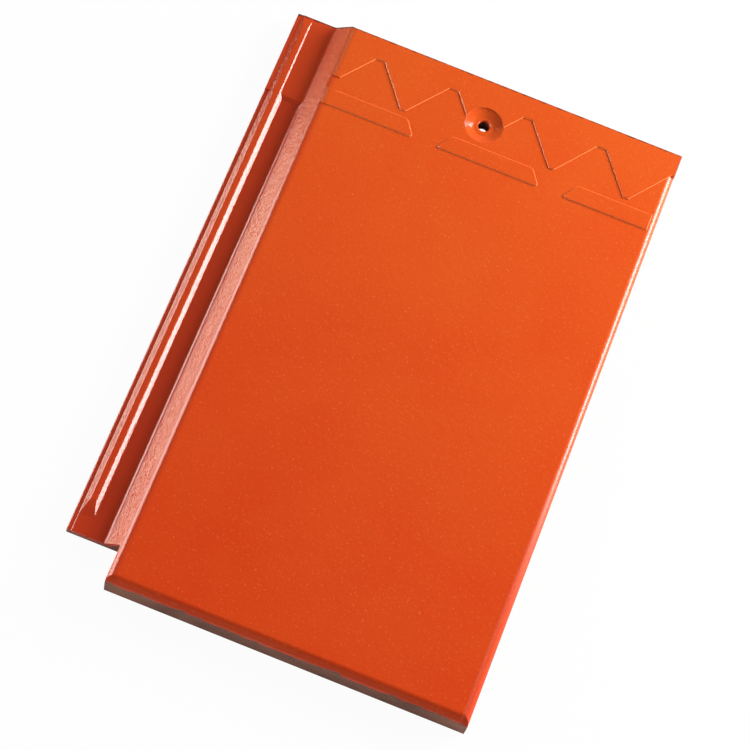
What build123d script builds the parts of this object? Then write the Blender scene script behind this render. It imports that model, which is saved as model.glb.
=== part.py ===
from build123d import *
from math import ceil, hypot
import os

# Flat interlocking roof tile: one piece of clay, pressed in a mould, glazed on its weather side
# and fired. Millimetres. X runs across the tile, Y runs up the roof from the nose to the head,
# and Z points to the weather side. The origin is on the floor under the middle of the tile,
# which lies on the foot of its nose and on its two hanging nibs.

# Whole tile
cover_width = 230.0         # width that one tile takes in a course
lip_overlap = 30.0          # how far the cover lip reaches over the next tile's lock
tile_length = 400.0
nose_height = 20.0          # weather face above the foot of the nose
plate_thickness = 13.5      # weather face down to the ribs that rest on the battens
batten_gauge = 340.0        # length of a tile that the next course leaves in view

# Nose at the tail
nose_depth = 14.0           # foot of the nose, front to back
nose_draft = 3.0            # how much deeper the nose is where it joins the plate
nose_bevel = 4.2
nose_bevel_round = 4.0
nose_foot_round = 1.0

# Side lock on the left: a rim, an upstanding ridge, a water channel and a sloping flank
nose_left = 33.8            # left end of the nose, from the outer edge of the lock
notch_length = 23.7         # the lock stops this far short of the tail
channel_depth = 10.7        # channel floor below the weather face
channel_floor_thickness = 6.0
rim_edge_drop = 11.4        # outer edge of the rim below the weather face
rim_drop = 10.9             # rim beside the ridge, below the weather face
rim_width = 3.0
ridge_drop = 8.4            # top of the ridge below the weather face
ridge_outer_slope = 3.0
ridge_top_width = 3.5
ridge_inner_slope = 3.2
channel_width = 11.3        # flat floor of the channel
flank_run = 12.0
flank_web = 7.0             # clay beside the flank's top, down to the underside
flank_web_draft = 8.0
rim_edge_round = 0.8
ridge_round = 2.0
flank_foot_round = 3.5
flank_round = 6.0
tail_level = 12.0           # the lock has no ridge over this length at its tail end
tail_run_out = 10.0         # the ridge dies away over this length before that

# Lock within the head lap
head_channel_depth = 9.3
head_rim_drop = 9.9         # rim below the weather face
channel_step_run = 3.0
head_run_out = 8.0          # the ridge dies away over this length at the head

# Cover lip on the right, which lies over the next tile's lock
lock_clearance = 1.0
edge_round = 4.5
tongue_gap = 3.5            # from the next tile's ridge to the tongue
tongue_draft = 1.5

# Weather relief of the head lap
relief_height = 0.7
relief_bevel = 0.5
tooth_pitch = 50.0
first_peak = 61.0           # from the outer edge of the lock
peak_flat = 6.0
valley_flat = 3.5
relief_root = 3.0           # clay of the raised strip along the flank, below the weather face
strip_width = 5.0           # the strip along the flank's top, where the teeth and the first bar start
peak_set_back = 16.0        # from the head edge
valley_set_back = 43.0
bar_width = 11.5
bar_set_back = 47.0         # from the head edge to the upper side of the bars
bar_end_taper = 7.5
bar_end_round = 4.0
bar_foot_round = 1.5
bar_gap = 15.0              # between two bars, at their lower side
first_bar_end = 98.7        # from the outer edge of the lock
middle_bar_length = 69.3
head_round = 1.0

# Nail hole in its dish
nail_hole_diameter = 7.4
dish_diameter = 24.8
dish_floor_diameter = 13.0
dish_depth = 2.3
dish_round = 2.5            # at the foot of the dish's side
dish_set_back = 31.4        # from the head edge
dish_across = 136.8         # from the outer edge of the lock
nail_hole_offset = 0.8      # the hole sits this much nearer to the head than its dish
nail_hole_bevel = 0.6

# Underside
foot_rib_set_back = 31.0    # from the tail
foot_rib_width = 8.0
foot_rib_draft = 2.0
foot_rib_clearance = 3.0    # above the floor
nib_width = 34.0
nib_thickness = 14.0
nib_set_back = 14.0         # from the head edge to the nibs' head side
nib_draft = 2.0
nib_round = 3.0
left_nib_across = 82.0      # from the outer edge of the lock
right_nib_across = 196.0
pocket_columns = 3
pocket_rows = 4
pocket_rib = 12.0
pocket_depth = 2.5
pocket_corner = 8.0
pocket_taper = 30.0

# Lines across and along the tile
tile_width = cover_width + lip_overlap
left_edge = -tile_width / 2
right_edge = tile_width / 2
tail = -tile_length / 2
head = tile_length / 2
nose_end = left_edge + nose_left
notch = tail + notch_length
lap_line = tail + batten_gauge
bar_top = head - bar_set_back
bar_foot = bar_top - bar_width
last_peak = head - peak_set_back
rib_front = tail + foot_rib_set_back
rib_back = rib_front + foot_rib_width

# Heights above the floor
face = nose_height
underside = face - plate_thickness
relief_top = face + relief_height
ridge_top = face - ridge_drop
channel_floor = face - channel_depth
lock_underside = channel_floor - channel_floor_thickness
head_channel_floor = face - head_channel_depth

# The lock, from the outside inwards
rim_end = left_edge + rim_width
ridge_start = rim_end + ridge_outer_slope
ridge_end = ridge_start + ridge_top_width
ridge_foot = ridge_end + ridge_inner_slope
flank_foot = ridge_foot + channel_width
flank_top = flank_foot + flank_run
web_side = flank_top + flank_web


def ridge_side(height):
    # Inner side of the ridge
    return ridge_end + ridge_inner_slope * (ridge_top - height) / (ridge_top - channel_floor)


def flank(height):
    # The flank keeps its slope wherever it starts and ends
    return flank_foot + flank_run * (height - channel_floor) / channel_depth


# The cover lip: a groove over the next tile's ridge, and a tongue between its ridge and flank
groove_start = left_edge + cover_width - lock_clearance
groove_roof = ridge_top + lock_clearance
tongue_start = ridge_foot + cover_width + tongue_gap
tongue_foot = channel_floor + lock_clearance
tongue_head = lap_line - lock_clearance
flank_clearance = lock_clearance * hypot(flank_run, channel_depth) / channel_depth
next_flank_foot = flank_foot + cover_width - flank_clearance


def next_flank(height):
    # Side of the cover lip that faces the next tile's flank
    return next_flank_foot + flank_run * (height - channel_floor) / channel_depth


def cross_section(rim_edge, rim, floor):
    # Corners from the lock's lower edge over the weather side to the cover lip, each with its radius
    return [
        (left_edge, lock_underside, 0),
        (left_edge, rim_edge, rim_edge_round),
        (rim_end, rim, ridge_round),
        (ridge_start, ridge_top, ridge_round),
        (ridge_end, ridge_top, ridge_round),
        (ridge_side(floor), floor, ridge_round),
        (flank(floor), floor, flank_foot_round),
        (flank_top, face, flank_round),
        (right_edge, face, edge_round),
        (right_edge, underside, 0),
        (web_side, underside, 0),
        (web_side - flank_web_draft, lock_underside, 0),
    ]


def bar(start, end, start_taper, end_taper):
    # A bar is given by the ends of its lower side
    return [
        (start, bar_foot, min(start_taper, bar_foot_round)),
        (start + start_taper, bar_top, min(start_taper, bar_end_round)),
        (end - end_taper, bar_top, min(end_taper, bar_end_round)),
        (end, bar_foot, min(end_taper, bar_foot_round)),
    ]


def places(corners):
    return [(a, b) for a, b, radius in corners]


def radii(corners):
    return [radius for a, b, radius in corners]


def toothed_outline():
    # The teeth start and end beyond the tile, and are trimmed to the raised field
    valley = head - valley_set_back
    first = left_edge + first_peak - tooth_pitch * ceil(first_peak / tooth_pitch)
    last = first + tooth_pitch * (ceil(tile_width / tooth_pitch) + 2)
    outline = [(last, head), (first, head)]
    middle = first
    while middle < last:
        outline.append((middle, last_peak))
        outline.append((middle + peak_flat / 2, last_peak))
        outline.append((middle + tooth_pitch / 2 - valley_flat / 2, valley))
        outline.append((middle + tooth_pitch / 2 + valley_flat / 2, valley))
        outline.append((middle + tooth_pitch - peak_flat / 2, last_peak))
        middle += tooth_pitch
    return outline


def first_tooth(across):
    # Lower side of the first tooth, from its valley up to its peak
    run = (tooth_pitch - peak_flat - valley_flat) / 2
    peak_side = left_edge + first_peak - peak_flat / 2
    return last_peak - (valley_set_back - peak_set_back) * (peak_side - across) / run


with BuildPart() as roof_tile:
    # Plate, lock and cover lip in one section, whose lock is higher from the bars to the head
    exposed_section = cross_section(face - rim_edge_drop, face - rim_drop, channel_floor)
    with BuildSketch(Plane.XZ.offset(-bar_foot)):
        with BuildLine():
            FilletPolyline(places(exposed_section), radius=radii(exposed_section), close=True)
        make_face()
    extrude(amount=bar_foot - tail)
    head_rim = face - head_rim_drop
    lap_section = cross_section(head_rim, head_rim, head_channel_floor)
    with BuildSketch(Plane.XZ.offset(-head)):
        with BuildLine():
            FilletPolyline(places(lap_section), radius=radii(lap_section), close=True)
        make_face()
    extrude(amount=head - bar_foot)

    # Under the head lap the lock is as high as the battens' seat
    with BuildSketch(Plane.YZ.offset(left_edge)):
        with BuildLine():
            Polyline((lap_line, 0), (lap_line, underside), (head, underside), (head, 0), close=True)
        make_face()
    extrude(amount=tile_width, mode=Mode.SUBTRACT)

    # The lock stops short of the tail
    with BuildSketch(Plane.XY):
        with Locations((left_edge, tail)):
            Rectangle(nose_left, notch_length, align=(Align.MIN, Align.MIN))
    extrude(amount=face, mode=Mode.SUBTRACT)

    # The channel rises in a short slope to the head lap
    with BuildSketch(Plane.YZ.offset(ridge_end)):
        with BuildLine():
            Polyline(
                (bar_foot - channel_step_run, channel_floor),
                (bar_foot, head_channel_floor),
                (bar_foot, channel_floor - channel_floor_thickness / 2),
                close=True,
            )
        make_face()
    extrude(amount=flank_top - ridge_end)

    # The ridge dies away at both ends
    with BuildSketch(Plane.YZ.offset(left_edge)):
        with BuildLine():
            Polyline(
                (notch, channel_floor),
                (notch + tail_level, channel_floor),
                (notch + tail_level + tail_run_out, ridge_top),
                (notch + tail_level + tail_run_out, face),
                (notch, face),
                close=True,
            )
        make_face()
        with BuildLine():
            Polyline(
                (head, head_channel_floor),
                (head - head_run_out, ridge_top),
                (head - head_run_out, face),
                (head, face),
                close=True,
            )
        make_face()
    extrude(amount=ridge_foot - left_edge, mode=Mode.SUBTRACT)

    # Foot of the nose, and the rib behind it
    with BuildSketch(Plane.YZ.offset(nose_end)):
        with BuildLine():
            FilletPolyline(
                (tail, 0),
                (tail, underside),
                (tail + nose_depth + nose_draft, underside),
                (tail + nose_depth, 0),
                radius=[nose_foot_round, 0, 0, nose_foot_round],
                close=True,
            )
        make_face()
    extrude(amount=right_edge - nose_end)
    with BuildSketch(Plane.YZ.offset(web_side)):
        with BuildLine():
            Polyline(
                (rib_front - foot_rib_draft, underside),
                (rib_front, foot_rib_clearance),
                (rib_back, foot_rib_clearance),
                (rib_back + foot_rib_draft, underside),
                close=True,
            )
        make_face()
    extrude(amount=groove_start - web_side)

    # Underside of the cover lip, behind the nose, and the tongue in it
    lip_tail = tail + nose_depth + nose_draft
    with BuildSketch(Plane.XZ.offset(-head)):
        with Locations((groove_start, 0)):
            Rectangle(right_edge - groove_start, groove_roof, align=(Align.MIN, Align.MIN))
        with BuildLine():
            Polyline(
                (next_flank(channel_floor), channel_floor),
                (next_flank(relief_top), relief_top),
                (next_flank(relief_top), channel_floor),
                close=True,
            )
        make_face()
    extrude(amount=head - lip_tail, mode=Mode.SUBTRACT)
    with BuildSketch(Plane.XZ.offset(-tongue_head)):
        with BuildLine():
            Polyline(
                (tongue_start, groove_roof),
                (tongue_start + tongue_draft, tongue_foot),
                (next_flank(tongue_foot), tongue_foot),
                (next_flank(groove_roof), groove_roof),
                close=True,
            )
        make_face()
    extrude(amount=tongue_head - lip_tail)

    # Raised field at the head, with its toothed lower side
    strip_start = flank(relief_top)
    strip_end = strip_start + strip_width
    field_start = strip_end - relief_bevel
    with BuildSketch(Plane.XY.offset(face - edge_round)):
        with BuildLine():
            Polyline(*toothed_outline(), close=True)
        make_face()
        with Locations((field_start, tail)):
            field_width = right_edge - field_start
            Rectangle(field_width, tile_length, align=(Align.MIN, Align.MIN), mode=Mode.INTERSECT)
    extrude(amount=edge_round + relief_height)
    field_rim = roof_tile.edges(Select.LAST).filter_by_position(Axis.Z, relief_top, relief_top)
    field_rim = field_rim.filter_by_position(Axis.Y, tail, head, (False, False))
    field_rim = field_rim.filter_by_position(Axis.X, left_edge, right_edge, (False, False))
    chamfer(field_rim, relief_bevel)

    # Three bars below the teeth, which carry the nose of the next course
    middle_start = left_edge + first_bar_end + bar_gap
    middle_end = middle_start + middle_bar_length
    bars = [
        bar(field_start, left_edge + first_bar_end, 0, bar_end_taper),
        bar(middle_start, middle_end, bar_end_taper, bar_end_taper),
        bar(middle_end + bar_gap, right_edge - edge_round, bar_end_taper, 0),
    ]
    for corners in bars:
        with BuildSketch(Plane.XY.offset(face)):
            with BuildLine():
                FilletPolyline(places(corners), radius=radii(corners), close=True)
            make_face()
        extrude(amount=relief_height)
        bar_rim = roof_tile.edges(Select.LAST).filter_by_position(Axis.Z, relief_top, relief_top)
        chamfer(bar_rim, relief_bevel)

    # The first tooth and the first bar run into the flank, whose line goes on to their height
    for low, high in ((bar_foot, bar_top), (first_tooth(strip_end), head)):
        with BuildSketch(Plane.XZ.offset(-high)):
            with BuildLine():
                FilletPolyline(
                    (flank(face - relief_root), face - relief_root),
                    (strip_start, relief_top),
                    (strip_end, relief_top),
                    (strip_end, face - relief_root),
                    radius=[0, flank_round, 0, 0],
                    close=True,
                )
            make_face()
        extrude(amount=high - low)

    # Bevel along the nose, and the softened head edge
    with BuildSketch(Plane.YZ.offset(left_edge)):
        with BuildLine():
            FilletPolyline(
                (tail, 0),
                (tail, face - nose_bevel),
                (tail + nose_bevel, face),
                (bar_foot - bar_width, face),
                (bar_foot - bar_width, relief_top),
                (head, relief_top),
                (head, 0),
                radius=[0, nose_bevel_round, nose_bevel_round, 0, 0, head_round, 0],
                close=True,
            )
        make_face()
    extrude(amount=tile_width, mode=Mode.INTERSECT)

    # Nail hole in a dish that lies across the second valley of the teeth
    nail_x = left_edge + dish_across
    dish_y = head - dish_set_back
    nail_y = dish_y + nail_hole_offset
    dish_floor = face - dish_depth
    with BuildSketch(Plane.XZ.offset(-dish_y)):
        with BuildLine():
            FilletPolyline(
                (nail_x, dish_floor),
                (nail_x + dish_floor_diameter / 2, dish_floor),
                (nail_x + dish_diameter / 2, face),
                (nail_x + dish_diameter / 2, relief_top),
                (nail_x, relief_top),
                radius=[0, dish_round, 0, 0, 0],
                close=True,
            )
        make_face()
    revolve(axis=Axis((nail_x, dish_y, 0), (0, 0, 1)), mode=Mode.SUBTRACT)
    with BuildSketch(Plane.XZ.offset(-nail_y)):
        with BuildLine():
            Polyline(
                (nail_x, 0),
                (nail_x + nail_hole_diameter / 2, 0),
                (nail_x + nail_hole_diameter / 2, dish_floor - nail_hole_bevel),
                (nail_x + nail_hole_diameter / 2 + nail_hole_bevel, dish_floor),
                (nail_x, dish_floor),
                close=True,
            )
        make_face()
    revolve(axis=Axis((nail_x, nail_y, 0), (0, 0, 1)), mode=Mode.SUBTRACT)

    # Hanging nibs, which hook over the batten
    for nib_across in (left_nib_across, right_nib_across):
        with BuildSketch(Plane.XY):
            with Locations((left_edge + nib_across, head - nib_set_back - nib_thickness / 2)):
                RectangleRounded(nib_width, nib_thickness, nib_round)
        extrude(amount=underside, taper=-nib_draft)

    # Pockets between the ribs of the underside
    pocket_field_width = groove_start - web_side
    pocket_field_start = rib_back + foot_rib_draft
    pocket_field_length = lap_line - pocket_field_start
    column = pocket_field_width / pocket_columns
    row = pocket_field_length / pocket_rows
    with BuildSketch(Plane.XY.offset(underside)):
        with Locations((web_side + pocket_field_width / 2, pocket_field_start + pocket_field_length / 2)):
            with GridLocations(column, row, pocket_columns, pocket_rows):
                RectangleRounded(column - pocket_rib, row - pocket_rib, pocket_corner)
    extrude(amount=pocket_depth, taper=pocket_taper, mode=Mode.SUBTRACT)

roof_tile.part.label = "roof_tile"

os.makedirs("parts", exist_ok=True)
export_step(roof_tile.part, "parts/roof_tile.step")
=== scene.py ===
import bpy
from math import radians
from mathutils import Matrix, Vector


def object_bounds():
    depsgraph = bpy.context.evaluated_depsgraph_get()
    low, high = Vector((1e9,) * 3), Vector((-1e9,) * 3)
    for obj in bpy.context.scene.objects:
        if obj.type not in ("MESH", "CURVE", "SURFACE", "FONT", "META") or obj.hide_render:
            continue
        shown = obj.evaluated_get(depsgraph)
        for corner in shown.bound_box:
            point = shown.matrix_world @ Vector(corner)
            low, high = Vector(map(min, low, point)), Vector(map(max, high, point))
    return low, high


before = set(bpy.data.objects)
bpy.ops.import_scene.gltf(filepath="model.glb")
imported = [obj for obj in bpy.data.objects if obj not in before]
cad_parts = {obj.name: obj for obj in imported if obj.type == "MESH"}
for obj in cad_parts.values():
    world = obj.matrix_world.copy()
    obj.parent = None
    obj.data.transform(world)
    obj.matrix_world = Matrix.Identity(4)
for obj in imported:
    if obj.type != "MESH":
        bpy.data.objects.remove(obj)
print("frame loaded:", len(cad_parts), "node")
cadBox = [list(corner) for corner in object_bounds()]
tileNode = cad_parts["roof_tile"]

# The tile's edges in metres. The glaze's places are measured from them.
(left, tail, foot), (right, head, top) = cadBox

# Camera: from above the tail, turned so that the tile leans to the right as in the photograph
camera = {
    "place": (0.0528, -0.6954, 1.5968),
    "aim": (0.0032, -0.0176, 0.0200),
    "roll": 17.85,        # degrees, turns the tile's head to the right
    "lens": 136.8,        # mm on a 36 mm sensor
    "sensor": 36.0,
    "farthest": 20.0,
}


def addCamera(values):
    bpy.ops.object.select_all(action="DESELECT")
    bpy.ops.object.camera_add(location=values["place"])
    eye = bpy.context.object
    eye.name = "photoCamera"
    look = (Vector(values["aim"]) - Vector(values["place"])).to_track_quat("-Z", "Y").to_matrix().to_4x4()
    roll = Matrix.Rotation(radians(values["roll"]), 4, "Z")
    eye.matrix_world = Matrix.Translation(values["place"]) @ look @ roll
    eye.data.sensor_width = values["sensor"]
    eye.data.lens = values["lens"]
    eye.data.clip_end = values["farthest"]
    bpy.context.scene.camera = eye
    return eye


addCamera(camera)
print("camera in place")

# Lamps: a soft box low at the head's right, which the channel lies in the shade of. On the left a low strip
# shines in the flank, a panel above it shines in the flank's rounded foot and top and in the lock's ridge,
# and a fill lifts the shade. A card lights the nose. Power is in watts, and "gives" says what a lamp adds:
# light, reflections or both.
lamps = {
    "key": {
        "place": (1.20, 0.85, 0.62), "size": (1.15, 0.70),
        "power": 50.5, "colour": (1.0, 0.985, 0.96), "gives": "both",
    },
    "leftStrip": {
        "place": (-1.45, 0.05, 0.085), "size": (1.50, 0.09),
        "power": 4.6, "colour": (1.0, 0.87, 0.70), "gives": "both",
    },
    "leftPanel": {
        "place": (-1.30, 0.30, 0.66), "size": (0.90, 0.80),
        "power": 20.0, "colour": (1.0, 0.97, 0.92), "gives": "reflections",
    },
    "leftFill": {
        "place": (-1.30, 0.30, 0.66), "size": (0.90, 0.80),
        "power": 10.5, "colour": (1.0, 1.0, 1.0), "gives": "light",
    },
    "tailCard": {
        "place": (-1.25, -1.40, 0.50), "size": (1.60, 0.60),
        "power": 10.0, "colour": (1.0, 1.0, 1.0), "gives": "both",
    },
}


def addLamp(name, values):
    bpy.ops.object.select_all(action="DESELECT")
    bpy.ops.object.light_add(type="AREA", location=values["place"])
    lamp = bpy.context.object
    lamp.name = name
    lamp.data.shape = "RECTANGLE"
    lamp.data.size = values["size"][0]
    lamp.data.size_y = values["size"][1]
    lamp.data.energy = values["power"]
    lamp.data.color = values["colour"]
    lamp.rotation_euler = (-Vector(values["place"])).to_track_quat("-Z", "Y").to_euler()
    lamp.visible_diffuse = values["gives"] != "reflections"
    lamp.visible_glossy = values["gives"] != "light"
    return lamp


for name, values in lamps.items():
    addLamp(name, values)
print("lamps in place:", len(lamps))

# Surroundings: white to the camera, and to the tile a room that is lighter low down than overhead
surroundings = {
    "seen": (1.0, 1.0, 1.0),       # by the camera, round the tile
    "low": (0.42, 0.42, 0.42),
    "high": (0.08, 0.08, 0.08),
    "highFrom": 0.55,     # height on the sky's unit ball from which it is all dark
    "floorColour": (0.88, 0.88, 0.88),
    "floorRoughness": 0.9,
    "floorShine": 0.1,
    "floorGlow": 0.96,    # share of plain white that the camera sees in the floor
    "floorSize": 8.0,
}


def whiteWorld(values):
    world = bpy.data.worlds.new("studioAir")
    bpy.context.scene.world = world
    world.use_nodes = True
    nodes, links = world.node_tree.nodes, world.node_tree.links
    nodes.clear()
    rays = nodes.new("ShaderNodeLightPath")
    onTile = nodes.new("ShaderNodeBackground")
    axes = nodes.new("ShaderNodeSeparateXYZ")
    links.new(nodes.new("ShaderNodeTexCoord").outputs["Generated"], axes.inputs["Vector"])
    rise = nodes.new("ShaderNodeMapRange")
    rise.inputs["From Max"].default_value = values["highFrom"]
    links.new(axes.outputs["Z"], rise.inputs["Value"])
    air = nodes.new("ShaderNodeMix")
    air.data_type = "RGBA"
    air.inputs["A"].default_value = (*values["low"], 1)
    air.inputs["B"].default_value = (*values["high"], 1)
    links.new(rise.outputs["Result"], air.inputs["Factor"])
    links.new(air.outputs["Result"], onTile.inputs["Color"])
    seen = nodes.new("ShaderNodeBackground")
    seen.inputs["Color"].default_value = (*values["seen"], 1)
    mix = nodes.new("ShaderNodeMixShader")
    out = nodes.new("ShaderNodeOutputWorld")
    links.new(rays.outputs["Is Camera Ray"], mix.inputs["Fac"])
    links.new(onTile.outputs["Background"], mix.inputs[1])
    links.new(seen.outputs["Background"], mix.inputs[2])
    links.new(mix.outputs["Shader"], out.inputs["Surface"])


def addFloor(values):
    bpy.ops.object.select_all(action="DESELECT")
    bpy.ops.mesh.primitive_plane_add(size=values["floorSize"], location=(0, 0, 0))
    floor = bpy.context.object
    floor.name = "studioFloor"
    material = bpy.data.materials.new("whitePaper")
    material.use_nodes = True
    nodes, links = material.node_tree.nodes, material.node_tree.links
    paper = nodes["Principled BSDF"]
    paper.inputs["Base Color"].default_value = (*values["floorColour"], 1)
    paper.inputs["Roughness"].default_value = values["floorRoughness"]
    paper.inputs["Specular IOR Level"].default_value = values["floorShine"]
    glow = nodes.new("ShaderNodeEmission")
    rays = nodes.new("ShaderNodeLightPath")
    share = nodes.new("ShaderNodeMath")
    share.operation = "MULTIPLY"
    share.inputs[1].default_value = values["floorGlow"]
    mix = nodes.new("ShaderNodeMixShader")
    links.new(rays.outputs["Is Camera Ray"], share.inputs[0])
    links.new(share.outputs["Value"], mix.inputs["Fac"])
    links.new(paper.outputs["BSDF"], mix.inputs[1])
    links.new(glow.outputs["Emission"], mix.inputs[2])
    links.new(mix.outputs["Shader"], nodes["Material Output"].inputs["Surface"])
    floor.data.materials.append(material)
    return floor


whiteWorld(surroundings)
addFloor(surroundings)
print("surroundings in place")


# Effects that the glaze and the bare clay share, as node groups
def newGroup(name, inputs, outputs):
    group = bpy.data.node_groups.new(name, "ShaderNodeTree")
    for socketName, socketType in inputs:
        group.interface.new_socket(name=socketName, in_out="INPUT", socket_type=socketType)
    for socketName, socketType in outputs:
        group.interface.new_socket(name=socketName, in_out="OUTPUT", socket_type=socketType)
    return group, group.nodes.new("NodeGroupInput"), group.nodes.new("NodeGroupOutput")


def addNoise(tree, coords, scale, detail, roughness):
    noise = tree.nodes.new("ShaderNodeTexNoise")
    noise.inputs["Scale"].default_value = scale
    noise.inputs["Detail"].default_value = detail
    noise.inputs["Roughness"].default_value = roughness
    tree.links.new(coords, noise.inputs["Vector"])
    return noise.outputs["Fac"]


def addRange(tree, value, fromLow, fromHigh, toLow, toHigh):
    ranged = tree.nodes.new("ShaderNodeMapRange")
    limits = {"From Min": fromLow, "From Max": fromHigh, "To Min": toLow, "To Max": toHigh}
    for socketName, limit in limits.items():
        if isinstance(limit, (int, float)):
            ranged.inputs[socketName].default_value = limit
        else:
            tree.links.new(limit, ranged.inputs[socketName])
    tree.links.new(value, ranged.inputs["Value"])
    return ranged.outputs["Result"]


def addMath(tree, operation, first, second):
    node = tree.nodes.new("ShaderNodeMath")
    node.operation = operation
    for socket, value in zip(node.inputs, (first, second)):
        if isinstance(value, (int, float)):
            socket.default_value = value
        else:
            tree.links.new(value, socket)
    return node.outputs["Value"]


def addMix(tree, share, first, second):
    node = tree.nodes.new("ShaderNodeMix")
    node.data_type = "RGBA"
    for socketName, source in (("Factor", share), ("A", first), ("B", second)):
        tree.links.new(source, node.inputs[socketName])
    return node.outputs["Result"]


# How the glaze's colour changes, with the light and shade painted into it. Scales are in patterns to the
# metre, places and distances in metres, and the rest in shares. From and To are noise values for the clouds,
# the painted glint specks and the ragged painted shade on the head edge.
mottleAndPaintedLight = {
    "cloudScale": 16,
    "cloudFrom": 0.35,
    "cloudTo": 0.65,
    "cloudShare": 0.13,   # how far the clouds move the colour either way
    "tailShare": 0.1,     # of the pale colour at the tail
    "headShare": 0.9,
    "glintScale": 640,
    "glintFrom": 0.58,
    "glintTo": 0.78,
    "glintShare": 0.5,
    "slopeCore": 0.0002,  # how far from half way up the relief the painted light on the slopes starts to fade
    "slopeEnd": 0.00034,
    "slopeLightShare": 0.8,
    "flankTopCore": 0.0004,  # the same for the darker red band along the flank's top
    "flankTopEnd": 0.0028,
    "flankTopShare": 0.45,
    "channelShadeLow": foot + 0.0100,     # heights between which the painted shade in the lock's channel fades out
    "channelShadeHigh": foot + 0.0150,
    "channelShadeShare": 0.8,
    "lipFrom": right - 0.0055,     # painted shade on the cover lip's round
    "lipTo": right - 0.0030,
    "lipShare": 0.45,
    "lipShadeFrom": tail + 0.170,    # growing more and more towards the tail
    "lipShadeTo": tail + 0.040,
    "raggedScale": 300,
    "raggedFrom": 0.3,
    "raggedTo": 0.7,
    "ragged": 0.0005,
    "headShadeEnd": head - 0.0004,
    "headShadeShare": 0.9,
}


def mottleAndPaintedLightGroup(values):
    # Glaze colour, paler towards the head and cloudy, with painted light and shade: small painted glint
    # specks, painted light on the relief's slopes, painted shade in the lock's channel and on the cover lip's
    # round, a darker red band along the flank's top, and painted shade on the head edge
    group, given, made = newGroup(
        "glazeMottleAndPaintedLight",
        [
            ("Coords", "NodeSocketVector"), ("Pale", "NodeSocketColor"), ("Deep", "NodeSocketColor"),
            ("Dark Red", "NodeSocketColor"), ("Head Shade", "NodeSocketColor"), ("Painted Light", "NodeSocketColor"),
            ("Flank Top X", "NodeSocketFloat"), ("Relief Z", "NodeSocketFloat"), ("Head Y", "NodeSocketFloat"),
        ],
        [("Color", "NodeSocketColor")],
    )
    coords = given.outputs["Coords"]
    axes = group.nodes.new("ShaderNodeSeparateXYZ")
    group.links.new(coords, axes.inputs["Vector"])

    def distanceFrom(axis, place):
        offset = addMath(group, "SUBTRACT", axes.outputs[axis], given.outputs[place])
        return addMath(group, "ABSOLUTE", offset, 0)

    cloudNoise = addNoise(group, coords, values["cloudScale"], detail=3, roughness=0.55)
    clouds = addRange(
        group, cloudNoise, values["cloudFrom"], values["cloudTo"],
        -values["cloudShare"], values["cloudShare"],
    )
    along = addRange(group, axes.outputs["Y"], tail, head, values["tailShare"], values["headShare"])
    cloudy = addMix(group, addMath(group, "ADD", along, clouds), given.outputs["Deep"], given.outputs["Pale"])

    # Painted glints: small light specks that stand in for sparkles off the glaze's orange peel
    glintNoise = addNoise(group, coords, values["glintScale"], detail=3, roughness=0.7)
    glints = addRange(group, glintNoise, values["glintFrom"], values["glintTo"], 0, values["glintShare"])
    # Painted light: a pale band half way up the relief's slopes, lifting their shade and brightening their
    # lit sides
    fromSlope = distanceFrom("Z", "Relief Z")
    paintedSlopeLight = addRange(group, fromSlope, values["slopeCore"], values["slopeEnd"], values["slopeLightShare"], 0)
    withPaintedLight = addMix(group, addMath(group, "MAXIMUM", glints, paintedSlopeLight), cloudy, given.outputs["Painted Light"])

    # A darker red band along the flank's top
    fromFlankTop = distanceFrom("X", "Flank Top X")
    flankTopDarkening = addRange(group, fromFlankTop, values["flankTopCore"], values["flankTopEnd"], values["flankTopShare"], 0)
    # Painted shade: darker red low in the lock's channel, where the flank shades it
    paintedChannelShade = addRange(
        group, axes.outputs["Z"], values["channelShadeLow"], values["channelShadeHigh"], values["channelShadeShare"], 0,
    )
    # Painted shade on the cover lip's round, more and more towards the tail, darkening its reflection there
    onLip = addRange(group, axes.outputs["X"], values["lipFrom"], values["lipTo"], 0, values["lipShare"])
    towardsTail = addRange(group, axes.outputs["Y"], values["lipShadeTo"], values["lipShadeFrom"], 1, 0)
    paintedLipShade = addMath(group, "MULTIPLY", onLip, towardsTail)
    darkening = addMath(group, "MAXIMUM", paintedLipShade, addMath(group, "MAXIMUM", flankTopDarkening, paintedChannelShade))
    darkened = addMix(group, darkening, withPaintedLight, given.outputs["Dark Red"])

    # Painted shade: a dark ragged line along the head edge's round
    raggedNoise = addNoise(group, coords, values["raggedScale"], detail=2, roughness=0.5)
    ragged = addRange(
        group, raggedNoise, values["raggedFrom"], values["raggedTo"],
        -values["ragged"], values["ragged"],
    )
    toHead = addMath(group, "ADD", axes.outputs["Y"], ragged)
    paintedHeadShade = addRange(group, toHead, given.outputs["Head Y"], values["headShadeEnd"], 0, values["headShadeShare"])
    group.links.new(addMix(group, paintedHeadShade, darkened, given.outputs["Head Shade"]), made.inputs["Color"])
    return group


peel = {"coarseScale": 260, "fineScale": 900, "fineShare": 0.5}


def peelGroup(values):
    # Orange peel of a fired glaze: shallow dimples four millimetres apart, with a finer grain over them
    group, given, made = newGroup(
        "orangePeel",
        [("Coords", "NodeSocketVector"), ("Depth", "NodeSocketFloat")],
        [("Height", "NodeSocketFloat")],
    )
    coarse = addNoise(group, given.outputs["Coords"], values["coarseScale"], detail=2, roughness=0.5)
    fine = addNoise(group, given.outputs["Coords"], values["fineScale"], detail=1, roughness=0.5)
    both = addMath(group, "ADD", coarse, addMath(group, "MULTIPLY", fine, values["fineShare"]))
    group.links.new(addMath(group, "MULTIPLY", both, given.outputs["Depth"]), made.inputs["Height"])
    return group


clayPattern = {"grainScale": 520, "cloudScale": 40, "darkTo": 0.75, "lightFrom": 1.25}


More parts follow.
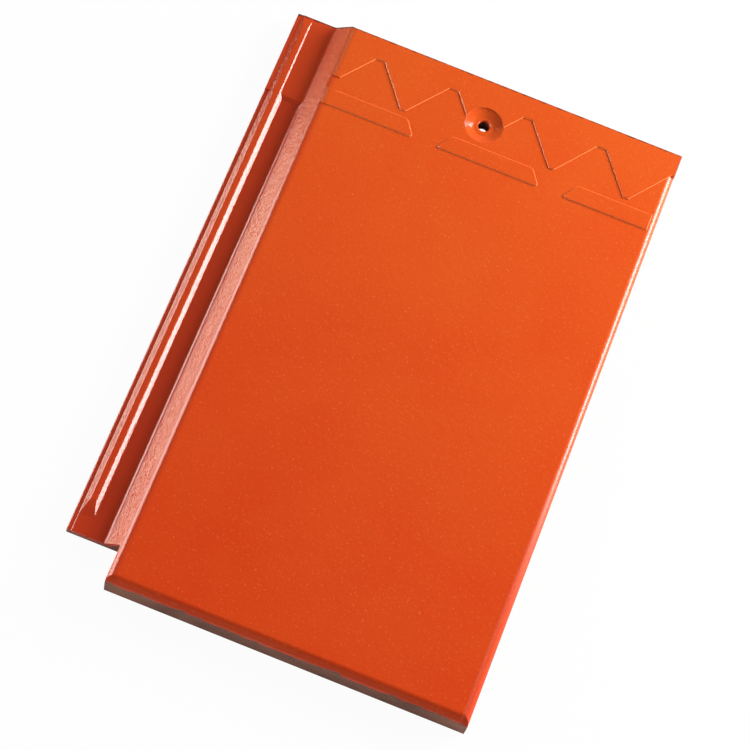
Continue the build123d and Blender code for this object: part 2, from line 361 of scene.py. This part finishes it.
def clayGroup(values):
    # Grain of bare fired clay: colour flecks and pits
    group, given, made = newGroup(
        "clayGrain",
        [
            ("Coords", "NodeSocketVector"), ("Light", "NodeSocketColor"), ("Dark", "NodeSocketColor"),
            ("Depth", "NodeSocketFloat"),
        ],
        [("Color", "NodeSocketColor"), ("Height", "NodeSocketFloat")],
    )
    grain = addNoise(group, given.outputs["Coords"], values["grainScale"], detail=4, roughness=0.7)
    clouds = addNoise(group, given.outputs["Coords"], values["cloudScale"], detail=2, roughness=0.5)
    share = addRange(group, addMath(group, "ADD", grain, clouds), values["darkTo"], values["lightFrom"], 0, 1)
    group.links.new(addMix(group, share, given.outputs["Dark"], given.outputs["Light"]), made.inputs["Color"])
    group.links.new(addMath(group, "MULTIPLY", grain, given.outputs["Depth"]), made.inputs["Height"])
    return group


linePattern = {"waveScale": 75, "noiseMiddle": 0.5, "fadeBelow": 0.0003, "fadeAbove": 0.0004}


def glazeLineGroup(values):
    # Where the glaze stops: a wavy line at a height that is lower along the lock
    group, given, made = newGroup(
        "glazeLine",
        [
            ("Coords", "NodeSocketVector"), ("Lock X", "NodeSocketFloat"), ("Body X", "NodeSocketFloat"),
            ("Lock Height", "NodeSocketFloat"), ("Body Height", "NodeSocketFloat"),
            ("Wave", "NodeSocketFloat"),
        ],
        [("Share", "NodeSocketFloat")],
    )
    axes = group.nodes.new("ShaderNodeSeparateXYZ")
    group.links.new(given.outputs["Coords"], axes.inputs["Vector"])
    height = addRange(
        group, axes.outputs["X"], given.outputs["Lock X"], given.outputs["Body X"],
        given.outputs["Lock Height"], given.outputs["Body Height"],
    )
    waveNoise = addNoise(group, given.outputs["Coords"], values["waveScale"], detail=2, roughness=0.5)
    centred = addMath(group, "SUBTRACT", waveNoise, values["noiseMiddle"])
    waves = addMath(group, "MULTIPLY", centred, given.outputs["Wave"])
    above = addMath(group, "SUBTRACT", axes.outputs["Z"], addMath(group, "ADD", height, waves))
    share = addRange(group, above, -values["fadeBelow"], values["fadeAbove"], 0, 1)
    group.links.new(share, made.inputs["Share"])
    return group


# The glaze's colours, the colours of its painted light and shade, its places and gloss
glaze = {
    "pale": (0.775, 0.106, 0.014),
    "deep": (0.75, 0.058, 0.008),
    "darkRed": (0.55, 0.044, 0.014),
    "headShade": (0.12, 0.022, 0.012),
    "paintedLight": (0.95, 0.26, 0.08),
    "flankTopX": left + 0.0375,       # along the flank's top
    "reliefZ": top - 0.00035,      # half way up the slopes of the teeth and bars, where light is painted on
    "headY": head - 0.0015,        # from here painted shade darkens the head edge
    "roughness": 0.14,
    "dullFrom": right - 0.0060,    # the glaze grows duller over the cover lip's round
    "dullTo": right - 0.0035,
    "dullRoughness": 0.27,
    "dullerFrom": tail + 0.180,    # and duller still towards the tail
    "dullerTo": tail + 0.050,
    "tailRoughness": 1.0,
    "peel": 0.00012,
}
clay = {
    "light": (0.34, 0.150, 0.100),
    "dark": (0.180, 0.078, 0.055),
    "roughness": 0.85,
    "grain": 0.00018,
}
glazeEdge = {
    "lockX": left + 0.0260,
    "bodyX": left + 0.0335,
    "lockHeight": foot + 0.0060,
    "bodyHeight": foot + 0.0158,
    "wave": 0.0060,
}


def tileMaterial(glaze, clay, edge):
    material = bpy.data.materials.new("glazedClay")
    material.use_nodes = True
    tree = material.node_tree
    nodes, links = tree.nodes, tree.links
    shader = nodes["Principled BSDF"]
    coords = nodes.new("ShaderNodeTexCoord").outputs["Object"]

    def useGroup(group, values):
        node = nodes.new("ShaderNodeGroup")
        node.node_tree = group
        links.new(coords, node.inputs["Coords"])
        for socketName, value in values.items():
            node.inputs[socketName].default_value = (*value, 1) if isinstance(value, tuple) else value
        return node

    glazed = useGroup(mottleAndPaintedLightGroup(mottleAndPaintedLight), {
        "Pale": glaze["pale"], "Deep": glaze["deep"], "Dark Red": glaze["darkRed"], "Head Shade": glaze["headShade"],
        "Painted Light": glaze["paintedLight"], "Flank Top X": glaze["flankTopX"],
        "Relief Z": glaze["reliefZ"], "Head Y": glaze["headY"],
    })
    dimples = useGroup(peelGroup(peel), {"Depth": glaze["peel"]})
    bare = useGroup(clayGroup(clayPattern), {
        "Light": clay["light"], "Dark": clay["dark"], "Depth": clay["grain"],
    })
    line = useGroup(glazeLineGroup(linePattern), {
        "Lock X": edge["lockX"], "Body X": edge["bodyX"],
        "Lock Height": edge["lockHeight"], "Body Height": edge["bodyHeight"], "Wave": edge["wave"],
    })
    share = line.outputs["Share"]
    colour = addMix(tree, share, bare.outputs["Color"], glazed.outputs["Color"])
    links.new(colour, shader.inputs["Base Color"])
    axes = nodes.new("ShaderNodeSeparateXYZ")
    links.new(coords, axes.inputs["Vector"])
    dull = addRange(
        tree, axes.outputs["Y"], glaze["dullerTo"], glaze["dullerFrom"],
        glaze["tailRoughness"], glaze["dullRoughness"],
    )
    gloss = addRange(tree, axes.outputs["X"], glaze["dullFrom"], glaze["dullTo"], glaze["roughness"], dull)
    links.new(addRange(tree, share, 0, 1, clay["roughness"], gloss), shader.inputs["Roughness"])
    height = nodes.new("ShaderNodeMix")
    links.new(share, height.inputs["Factor"])
    links.new(bare.outputs["Height"], height.inputs["A"])
    links.new(dimples.outputs["Height"], height.inputs["B"])
    bump = nodes.new("ShaderNodeBump")
    bump.inputs["Distance"].default_value = 1
    links.new(height.outputs["Result"], bump.inputs["Height"])
    links.new(bump.outputs["Normal"], shader.inputs["Normal"])
    return material


tileNode.data.materials.clear()
tileNode.data.materials.append(tileMaterial(glaze, clay, glazeEdge))
print("glaze and clay on")

bpy.context.scene.view_settings.view_transform = "Standard"
